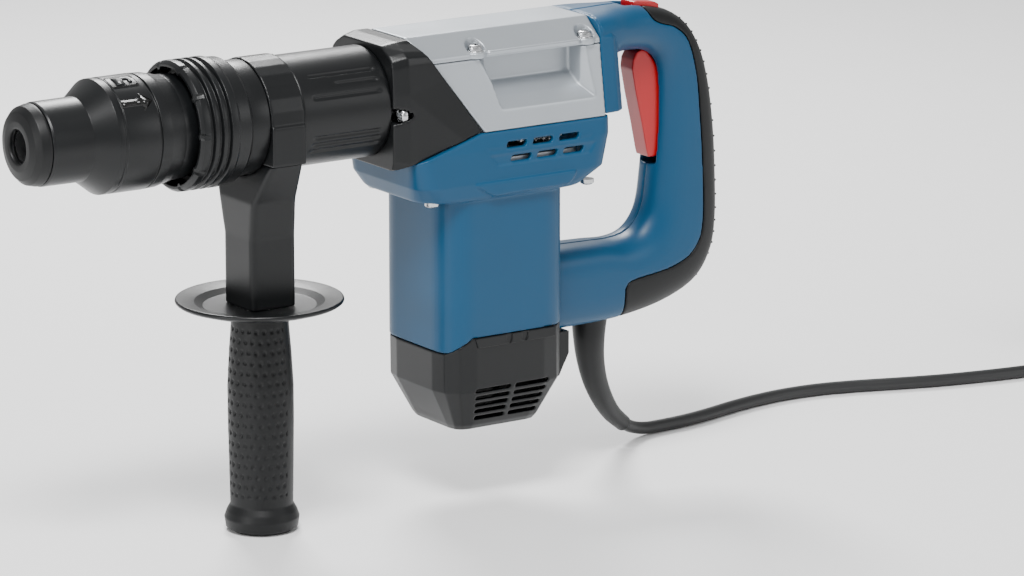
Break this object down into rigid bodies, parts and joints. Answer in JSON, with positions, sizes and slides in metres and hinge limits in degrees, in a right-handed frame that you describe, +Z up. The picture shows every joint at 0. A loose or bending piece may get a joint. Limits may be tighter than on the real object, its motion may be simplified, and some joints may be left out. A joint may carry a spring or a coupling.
{
  "type": "electric demolition hammer",
  "caption": "Corded demolition hammer with an upright motor, rear D-handle, locking chuck, swivelling side handle with a round guard, and a coiled mains lead.",
  "frame": {"origin": "level with the foot of the side handle, under the middle of the tool's length, on its plane of symmetry", "axes": "+X from the chuck back to the rear handle, +Z up, +Y to the tool's right as seen from behind the nose"},
  "size_m": [0.96, 0.1948, 0.2867],
  "materials": {
    "black_rubber": "matt moulded rubber",
    "black_plastic": "fine moulded grain, satin",
    "blue_plastic": "fine moulded grain, satin",
    "cast_alloy": "silver paint over a cast alloy, satin",
    "red_plastic": "smooth, slightly glossy",
    "steel": "machined steel",
    "copper": "enamelled copper and brass",
    "carbon": "sintered carbon, dull"
  },
  "bodies": {
    "frame": {"handle_grip": "black_rubber", "cable_sleeve": "black_rubber", "cord": "black_rubber", "cord_coil": "black_rubber", "plug": "black_rubber", "barrel_cover": "black_plastic", "gearbox_front": "black_plastic", "end_cap": "black_plastic", "switch_block": "black_plastic", "coil_tie": "black_plastic", "motor_housing": "blue_plastic", "handle_shell_left": "blue_plastic", "handle_shell_right": "blue_plastic", "gearbox_housing": "cast_alloy", "gearbox_lid": "cast_alloy", "bearing_plate": "cast_alloy", "barrel": "steel", "hammer_tube": "steel", "crank_bearing": "steel", "upper_bearing": "steel", "lower_bearing": "steel", "field_stator": "steel", "front_screw_left": "steel", "front_screw_right": "steel", "lid_screw_1": "steel", "lid_screw_2": "steel", "lid_screw_3": "steel", "lid_screw_4": "steel", "motor_screw_1": "steel", "motor_screw_2": "steel", "motor_screw_3": "steel", "motor_screw_4": "steel", "field_coil_left": "copper", "field_coil_right": "copper", "brush_holder_left": "copper", "brush_holder_right": "copper", "carbon_brush_left": "carbon", "carbon_brush_right": "carbon"},
    "chuck": {"dust_cap": "black_rubber", "tool_holder": "steel", "sleeve_spring": "steel"},
    "roller": {"locking_roller": "steel"},
    "sleeve": {"locking_sleeve": "black_plastic"},
    "ring": {"angle_ring": "black_plastic"},
    "side_handle": {"handle_clamp": "black_plastic", "handle_neck": "black_plastic", "handle_guard": "black_plastic", "handle_nut": "steel"},
    "grip": {"side_grip": "black_rubber", "clamp_bolt": "steel"},
    "trigger_body": {"trigger": "red_plastic"},
    "lock_body": {"lock_button": "red_plastic"},
    "motor": {"armature": "steel", "commutator": "copper", "cooling_fan": "black_plastic"},
    "crank": {"crank_gear": "steel"},
    "piston_body": {"piston": "steel"},
    "conrod": {"connecting_rod": "steel"},
    "striker_body": {"striker": "steel"},
    "anvil_body": {"anvil": "steel"}
  },
  "joints": [
    {"name": "chuck_turn", "type": "hinge", "parent": "frame", "child": "chuck", "pos_m": [-0.1785, 0, 0.247], "axis": [1, 0, 0], "continuous": true},
    {"name": "sleeve_slide", "type": "slide", "parent": "chuck", "child": "sleeve", "axis": [1, 0, 0], "range_m": [0, 0.008], "stiffness_N_per_m": 900, "deforming": ["sleeve_spring"]},
    {"name": "roller_slide", "type": "slide", "parent": "chuck", "child": "roller", "axis": [0, 0, 1], "range_m": [0, 0.003]},
    {"name": "ring_slide", "type": "slide", "parent": "frame", "child": "ring", "axis": [-1, 0, 0], "range_m": [0, 0.004], "stiffness_N_per_m": 900},
    {"name": "side_handle_swing", "type": "hinge", "parent": "frame", "child": "side_handle", "pos_m": [-0.0815, 0, 0.247], "axis": [1, 0, 0], "continuous": true},
    {"name": "grip_turn", "type": "hinge", "parent": "side_handle", "child": "grip", "pos_m": [-0.0815, 0, 0.067], "axis": [0, 0, 1], "range_deg": [0, 720]},
    {"name": "trigger_pull", "type": "hinge", "parent": "frame", "child": "trigger_body", "pos_m": [0.1925, 0, 0.192], "axis": [0, 1, 0], "range_deg": [0, 6], "stiffness_Nm_per_rad": 1.2, "springref_deg": -2.86},
    {"name": "lock_slide", "type": "slide", "parent": "frame", "child": "lock_body", "axis": [-1, 0, 0], "range_m": [0, 0.005]},
    {"name": "motor_spin", "type": "hinge", "parent": "frame", "child": "motor", "pos_m": [0.0675, 0, 0.147], "axis": [0, 0, 1], "continuous": true},
    {"name": "crank_spin", "type": "hinge", "parent": "frame", "child": "crank", "pos_m": [0.0995, 0, 0.219], "axis": [0, 0, 1], "continuous": true},
    {"name": "piston_slide", "type": "slide", "parent": "frame", "child": "piston_body", "axis": [1, 0, 0], "range_m": [0, 0.022]},
    {"name": "conrod_swing", "type": "hinge", "parent": "piston_body", "child": "conrod", "pos_m": [0.0075, 0, 0.241], "axis": [0, 0, 1], "range_deg": [-8, 8]},
    {"name": "striker_slide", "type": "slide", "parent": "frame", "child": "striker_body", "axis": [-1, 0, 0], "range_m": [0, 0.023]},
    {"name": "anvil_slide", "type": "slide", "parent": "frame", "child": "anvil_body", "axis": [-1, 0, 0], "range_m": [0, 0.005]}
  ],
  "couplings": [
    {"joint": "crank_spin", "follows": "motor_spin", "ratio": -0.24324},
    {"joint": "roller_slide", "follows": "sleeve_slide", "ratio": 0.375}
  ]
}
